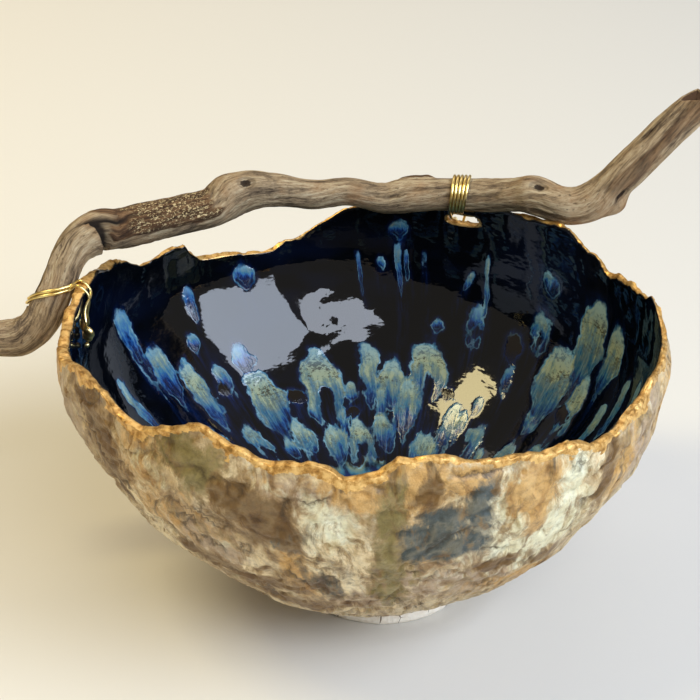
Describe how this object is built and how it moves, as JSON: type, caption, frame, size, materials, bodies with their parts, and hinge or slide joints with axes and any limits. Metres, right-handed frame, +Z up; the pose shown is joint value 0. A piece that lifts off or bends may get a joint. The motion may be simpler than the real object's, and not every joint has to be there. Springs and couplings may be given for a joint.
{
  "type": "ceramic bowl",
  "caption": "Deep round hand-built bowl on a small flat foot, with a torn gilded rim, dark flowing glaze inside, bark-like glaze outside and a driftwood branch wired across its back.",
  "frame": {"origin": "middle of the foot's flat underside, on the surface the bowl stands on", "axes": "+Z up out of the bowl's mouth; +Y towards the back rim that the branch is tied along; +X to the right, the side where the branch rises"},
  "size_m": [0.3135, 0.2457, 0.1892],
  "materials": {
    "glazed_stoneware": "glossy dark blue reactive glaze inside, mottled satin glaze outside, gold lustre on the rim",
    "driftwood": "bare, weathered and worn smooth",
    "brass_wire": "bright drawn wire",
    "gilded_metal": "lumpy, bright"
  },
  "bodies": {
    "root": {"bowl": "glazed_stoneware", "driftwood_branch": "driftwood", "wrap_wire": "brass_wire", "tie_wire": "brass_wire", "gold_nugget": "gilded_metal", "gold_bead": "gilded_metal"}
  },
  "joints": []
}
